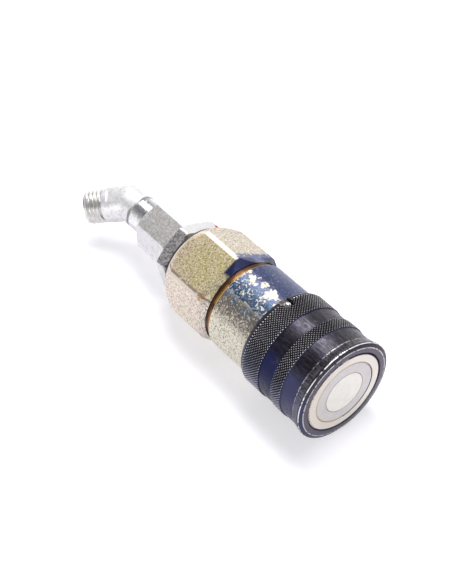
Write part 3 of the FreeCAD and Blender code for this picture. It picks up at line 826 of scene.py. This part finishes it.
@dataclass
class SwivelElbow:
    """Bent fitting with two forged flats and a male thread, sizes in mm."""

    bend: float = 150.1
    turn: float = 45.0
    dip: float = 21.0
    plain_end: float = 11.75
    leg_length: float = 21.2
    crest_r: float = 8.30
    root_r: float = 7.35
    pitch: float = 1.95
    flank_start: float = 0.08
    crest_start: float = 0.46
    crest_end: float = 0.56
    flank_end: float = 0.96
    lead: float = 0.8
    overlap: float = 1.2
    run_out: float = 0.4
    core_gap: float = 0.12
    bore_r: float = 4.0
    mouth_r: float = 6.6
    mouth_angle: float = 30.0
    steps: int = 56

    def axis(self) -> Vector:
        """Return the unit vector along the free leg."""
        turn = math.radians(self.turn)
        dip = math.radians(self.dip)
        return Vector((-math.cos(turn), -math.sin(turn) * math.cos(dip), -math.sin(turn) * math.sin(dip)))

    def place(self) -> Matrix:
        """Return the matrix from leg space, +Z along the leg in mm, to the row frame in metres."""
        rotation = self.axis().to_track_quat("Z", "Y").to_matrix().to_4x4()
        return Matrix.Scale(MM, 4) @ Matrix.Translation((-self.bend, 0, 0)) @ rotation

    def forging(self, node: Object) -> Object:
        """Return the bent body, a merged copy of the source's elbow without its plain thread.

        Args:
            node: The source's elbow.

        Returns:
            The body as a piece.
        """
        bm = bmesh.new()
        bm.from_mesh(node.data)
        bmesh.ops.remove_doubles(bm, verts=bm.verts, dist=1e-6)
        centre = Vector((-self.bend, 0, 0)) + self.axis() * self.plain_end
        bmesh.ops.bisect_plane(bm, geom=bm.verts[:] + bm.edges[:] + bm.faces[:], plane_co=centre * MM,
                               plane_no=self.axis(), clear_outer=True)
        return Pieces.from_bmesh(bm, "elbow_forging", smooth_angle=35.0)

    def thread(self) -> Object:
        """Return the cut thread with its cone mouth."""
        bm = bmesh.new()
        start = self.plain_end - self.overlap
        turns = math.ceil((self.leg_length - start) / self.pitch) + 1
        shape = [(0.0, self.root_r), (self.flank_start, self.root_r), (self.crest_start, self.crest_r),
                 (self.crest_end, self.crest_r), (self.flank_end, self.root_r)]
        verts = [bm.verts.new((radius, 0.0, start + share * self.pitch)) for share, radius in shape]
        edges = [bm.edges.new(pair) for pair in zip(verts, verts[1:])]
        bmesh.ops.spin(bm, geom=verts + edges, cent=(0, 0, 0), axis=(0, 0, 1),
                       dvec=(0, 0, self.pitch / self.steps), angle=math.tau * turns, steps=self.steps * turns)
        bmesh.ops.remove_doubles(bm, verts=bm.verts, dist=0.05)
        for vert in bm.verts:
            reach = math.hypot(vert.co.x, vert.co.y)
            limit = self.crest_r - max(0.0, vert.co.z - (self.leg_length - self.lead))
            if reach > limit:
                vert.co.x *= limit / reach
                vert.co.y *= limit / reach
        for height, side in ((self.plain_end - self.run_out, -1), (self.leg_length - 0.02, 1)):
            bmesh.ops.bisect_plane(bm, geom=bm.verts[:] + bm.edges[:] + bm.faces[:], plane_co=(0, 0, height),
                                   plane_no=(0, 0, side), clear_outer=True)
        mouth = (self.mouth_r - self.bore_r) / math.tan(math.radians(self.mouth_angle))
        core_r = self.root_r - self.core_gap
        core = [(start, core_r), (self.leg_length, core_r), (self.leg_length, self.mouth_r),
                (self.leg_length - mouth, self.bore_r), (start, self.bore_r)]
        verts = [bm.verts.new((radius, 0.0, height)) for height, radius in core]
        edges = [bm.edges.new((verts[i], verts[(i + 1) % len(verts)])) for i in range(len(verts))]
        bmesh.ops.spin(bm, geom=verts + edges, cent=(0, 0, 0), axis=(0, 0, 1), angle=math.tau,
                       steps=self.steps, use_merge=True)
        bmesh.ops.recalc_face_normals(bm, faces=bm.faces)
        bmesh.ops.transform(bm, matrix=self.place(), verts=bm.verts)
        return Pieces.from_bmesh(bm, "elbow_thread", smooth_angle=35.0)


@dataclass(frozen=True)
class ValveSpring:
    """Coil behind the valve ring; travel in mm."""

    joint: str = "valve_sleeve_slide"
    travel: float = 10.0

    def build(self, node: Object) -> Object:
        """Return the coil, a merged copy of the source's spring.

        Args:
            node: The source's spring.

        Returns:
            The coil as a piece.
        """
        bm = bmesh.new()
        bm.from_mesh(node.data)
        bmesh.ops.remove_doubles(bm, verts=bm.verts, dist=1e-6)
        return Pieces.from_bmesh(bm, "valve_coil")

    def close_up(self, coil: Object) -> None:
        """Give the coil a mesh of its own.

        Args:
            coil: The coil, in place on its body.
        """
        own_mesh(coil)


class Pieces:
    """Helpers that make objects from meshes."""

    @staticmethod
    def from_bmesh(bm: bmesh.types.BMesh, name: str, smooth_angle: float | None = 30.0) -> Object:
        """Turn a bmesh into a linked object.

        Args:
            bm: The mesh, which is freed.
            name: Name of the object.
            smooth_angle: Edges sharper than this many degrees stay sharp; None keeps every face flat.

        Returns:
            The object.
        """
        if smooth_angle is not None:
            limit = math.radians(smooth_angle)
            for face in bm.faces:
                face.smooth = True
            for edge in bm.edges:
                edge.smooth = len(edge.link_faces) == 2 and edge.calc_face_angle(0.0) < limit
        mesh = bpy.data.meshes.new(name)
        bm.to_mesh(mesh)
        bm.free()
        piece = bpy.data.objects.new(name, mesh)
        bpy.context.scene.collection.objects.link(piece)
        return piece

    @staticmethod
    def cut(piece: Object, cutter: Object) -> Object:
        """Cut one object from another and remove the cutter.

        Args:
            piece: The object that is cut.
            cutter: The object that is taken away from it.

        Returns:
            The piece, with the cut in its mesh.
        """
        tool = piece.modifiers.new("cut", "BOOLEAN")
        tool.operation = "DIFFERENCE"
        tool.solver = "EXACT"
        tool.object = cutter
        bpy.context.view_layer.update()
        shape = piece.evaluated_get(bpy.context.evaluated_depsgraph_get())
        mesh = bpy.data.meshes.new_from_object(shape)
        piece.modifiers.clear()
        piece.data = mesh
        bpy.data.objects.remove(cutter)
        return piece

    @staticmethod
    def dress(piece: Object, material: Material) -> None:
        """Give every face of an object one material."""
        piece.data.materials.clear()
        piece.data.materials.append(material)


@dataclass
class Studio:
    """Floor, lamps and camera."""

    floor_height: float = -0.02321
    floor_size: float = 6.0
    floor_colour: Colour = (0.56, 0.545, 0.59)
    middle_x: float = -0.08
    near_reach: float = 0.30
    near_soft: float = 0.60
    near_glow: float = 0.58
    far_glow: float = 0.35
    camera_place: tuple[float, float, float] = (0.24317, -0.25258, 0.39844)
    camera_right: tuple[float, float, float] = (0.6187, 0.7856, 0.0)
    camera_down: tuple[float, float, float] = (0.5508, -0.4337, -0.7132)
    lens: float = 80.14
    wall: Colour = (1.0, 0.99, 1.0)
    ceiling: Colour = (0.18, 0.18, 0.20)
    horizon_low: float = 0.05
    horizon_high: float = 0.55

    def floor(self) -> None:
        """Lay a pale floor that keeps the shadow."""
        bm = bmesh.new()
        bmesh.ops.create_grid(bm, x_segments=1, y_segments=1, size=self.floor_size / 2)
        bmesh.ops.translate(bm, vec=(0, 0, self.floor_height), verts=bm.verts)
        floor = Pieces.from_bmesh(bm, "floor", None)
        surface = Surface("pale floor", self.floor_colour, 0.0, 1.0)
        surface.shader.inputs["Specular IOR Level"].default_value = 0.0
        path = add_node(surface.tree, "LightPath", {}).outputs
        seen = surface.either(path["Is Camera Ray"], path["Is Glossy Ray"], path["Is Transmission Ray"])
        surface.shader.inputs["Emission Color"].default_value = (1.0, 1.0, 1.0, 1.0)
        middle = Vector((self.middle_x, 0.0, self.floor_height))
        far = surface.value("SUBTRACT", 1.0, surface.near(middle, self.near_reach, self.near_soft))
        glow = surface.value("MULTIPLY_ADD", far, self.far_glow, self.near_glow)
        surface.set("Emission Strength", surface.value("MULTIPLY", seen, glow))
        Pieces.dress(floor, surface.material)

    def world(self) -> None:
        """Set pale walls that darken upwards, white to the camera."""
        world = bpy.data.worlds.new("soft studio")
        world.use_nodes = True
        bpy.context.scene.world = world
        tree = world.node_tree
        sky = tree.nodes["Background"]
        path = add_node(tree, "LightPath", {}).outputs
        seen = add_math(tree, "MAXIMUM", path["Is Camera Ray"], path["Is Transmission Ray"])
        coords = add_node(tree, "TexCoord", {})
        split = add_node(tree, "SeparateXYZ", {0: coords.outputs["Generated"]})
        feeds = {"Value": split.outputs["Z"], "From Min": self.horizon_low, "From Max": self.horizon_high}
        climb = add_node(tree, "MapRange", feeds, interpolation_type="SMOOTHSTEP")
        feeds = {0: climb.outputs["Result"], 6: self.wall, 7: self.ceiling}
        walls = add_node(tree, "Mix", feeds, data_type="RGBA")
        mix = add_node(tree, "Mix", {0: seen, 6: walls.outputs[2], 7: (1.0, 1.0, 1.0)}, data_type="RGBA")
        tree.links.new(mix.outputs[2], sky.inputs["Color"])
        sky.inputs["Strength"].default_value = 1.0

    @staticmethod
    def lamp(name: str, place: Vector, aim: Vector, size: tuple[float, float], power: float) -> None:
        """Hang a rectangular lamp.

        Args:
            name: Name of the lamp.
            place: Its centre, in metres.
            aim: The point that it faces.
            size: Its two sides, in metres.
            power: Its power, in watts.
        """
        data = bpy.data.lights.new(name, "AREA")
        data.shape = "RECTANGLE"
        data.size, data.size_y = size
        data.energy = power
        lamp = bpy.data.objects.new(name, data)
        bpy.context.scene.collection.objects.link(lamp)
        turn = (aim - place).to_track_quat("-Z", "Y").to_matrix().to_4x4()
        lamp.matrix_world = Matrix.Translation(place) @ turn

    def lamps(self) -> None:
        """Hang the overhead, back and front lamps."""
        aim = Vector((-0.05, 0.0, 0.0))
        self.lamp("overhead", Vector((-0.12, 0.12, 0.55)), aim, (0.30, 0.22), 2.8)
        self.lamp("highlight", Vector((-0.38, 0.16, 0.50)), aim, (0.24, 0.14), 1.7)
        self.lamp("back side", Vector((-0.20, 0.75, 0.30)), aim, (0.7, 0.35), 1.0)
        self.lamp("front side", Vector((-0.10, -0.75, 0.10)), aim, (0.7, 0.25), 1.0)
        self.lamp("face", Vector((0.80, -0.10, 0.16)), Vector((0.0, 0.0, 0.0)), (0.5, 0.4), 1.9)

    def camera(self) -> None:
        """Place the camera where the photograph was taken from."""
        right = Vector(self.camera_right).normalized()
        up = -Vector(self.camera_down).normalized()
        back = right.cross(up)
        data = bpy.data.cameras.new("camera")
        data.lens = self.lens
        data.sensor_width = 36.0
        data.sensor_fit = "AUTO"
        data.clip_start = 0.01
        camera = bpy.data.objects.new("camera", data)
        bpy.context.scene.collection.objects.link(camera)
        turn = Matrix((right, up, back)).transposed().to_4x4()
        camera.matrix_world = Matrix.Translation(self.camera_place) @ turn
        bpy.context.scene.camera = camera

    def build(self) -> None:
        """Build the whole studio."""
        self.floor()
        self.world()
        self.lamps()
        self.camera()
        bpy.context.scene.view_settings.view_transform = "Standard"


@dataclass
class CouplingDress:
    """Finishes of the source's own nodes."""

    nodes: dict[str, Object]

    def apply(self) -> dict[Slot, Material]:
        """Dress every node and return the finishes that new pieces share."""
        bright = TurnedFace("bright ring", (0.67, 0.64, 0.63), (0.20, 0.13, 0.09), 14.85)
        head = TurnedFace("pale disc", (0.90, 0.885, 0.81), (0.22, 0.15, 0.10), 9.85)
        finishes: dict[Slot, Material] = {
            Slot.BARREL: WornBarrel().build(),
            Slot.CHROMATE: ChromateHexagon().build(),
            Slot.BLACK: BlackSleeve().build(),
            Slot.BRIGHT: bright.build(),
            Slot.BALL: PlainMetal("ball steel", (0.75, 0.74, 0.73), 1.0, 0.12, 1.0, 0.0).build(),
            Slot.SPRING: PlainMetal("spring wire", (0.36, 0.36, 0.37)).build(),
            Slot.PLAIN: PlainMetal("turned steel", (0.46, 0.46, 0.46)).build(),
            Slot.RUBBER: SmoothPlastic("seal rubber", (0.02, 0.02, 0.02), 0.5).build(),
            Slot.BACKUP: SmoothPlastic("backup plastic", (0.85, 0.85, 0.82), 0.45).build(),
            # Painted shade: the plated washer gets the near-black colour that it shows between the hexagons.
            Slot.WASHER: PlainMetal("dark washer", (0.07, 0.06, 0.05), 0.6, 0.5, 2.0, 0.04).build(),
            Slot.ZINC: ForgedZinc().build(),
        }
        by_name = {slot.value: material for slot, material in finishes.items()}
        for entry in frame["record"]["subparts"]:
            Pieces.dress(self.nodes[entry["node"]], by_name[entry["material_slot"]])
        Pieces.dress(self.nodes["valve_stem"], head.build())
        # The nipple and the swivel nut get painted shade on the flats that face the camera.
        dark = ForgedZinc("flat-shaded zinc", pale=(0.68, 0.67, 0.68), flat_shade=(0.12, 0.105, 0.105), shade_share=0.95)
        Pieces.dress(self.nodes["nipple"], dark.build())
        grey = ForgedZinc("grey forged zinc", pale=(0.77, 0.77, 0.79), flat_shade=(0.33, 0.30, 0.27),
                          shade_share=0.8, shade_from=86.8, shade_to=146.8, polished_neck=True)
        Pieces.dress(self.nodes["swivel_nut"], grey.build())
        return finishes


def place_piece(piece: Object, finish: Material, body: Body) -> None:
    """Dress a piece and hang it on its body.

    Args:
        piece: The piece.
        finish: Its material.
        body: The body that it moves with.
    """
    Pieces.dress(piece, finish)
    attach(piece, body.value)
    LOG.info("built %s", piece.name)


def main() -> None:
    """Build the scene from its sub-assemblies, in order."""
    logging.basicConfig(level=logging.INFO, format="%(message)s")
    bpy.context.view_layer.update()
    nodes = frame["nodes"]
    finishes = CouplingDress(nodes).apply()
    LOG.info("dressed %d nodes", len(nodes))

    sleeve = LockingSleeve().build()
    place_piece(sleeve, finishes[Slot.BLACK], Body.SLEEVE)
    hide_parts("locking_sleeve")

    elbow = SwivelElbow()
    forging = elbow.forging(nodes["elbow"])
    place_piece(forging, finishes[Slot.ZINC], Body.COUPLING)
    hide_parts("elbow")
    cut_zinc = ForgedZinc("cut zinc", pale=(0.80, 0.79, 0.76), metallic=0.85, roughness=0.28, skin_depth=0.02,
                          pit_cover=0.1)
    place_piece(elbow.thread(), cut_zinc.build(), Body.COUPLING)

    spring = ValveSpring()
    coil = spring.build(nodes["valve_spring"])
    place_piece(coil, finishes[Slot.SPRING], Body.COUPLING)
    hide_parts("valve_spring")
    spring.close_up(coil)

    Studio().build()
    LOG.info("built the studio")


if __name__ == "__main__":
    main()
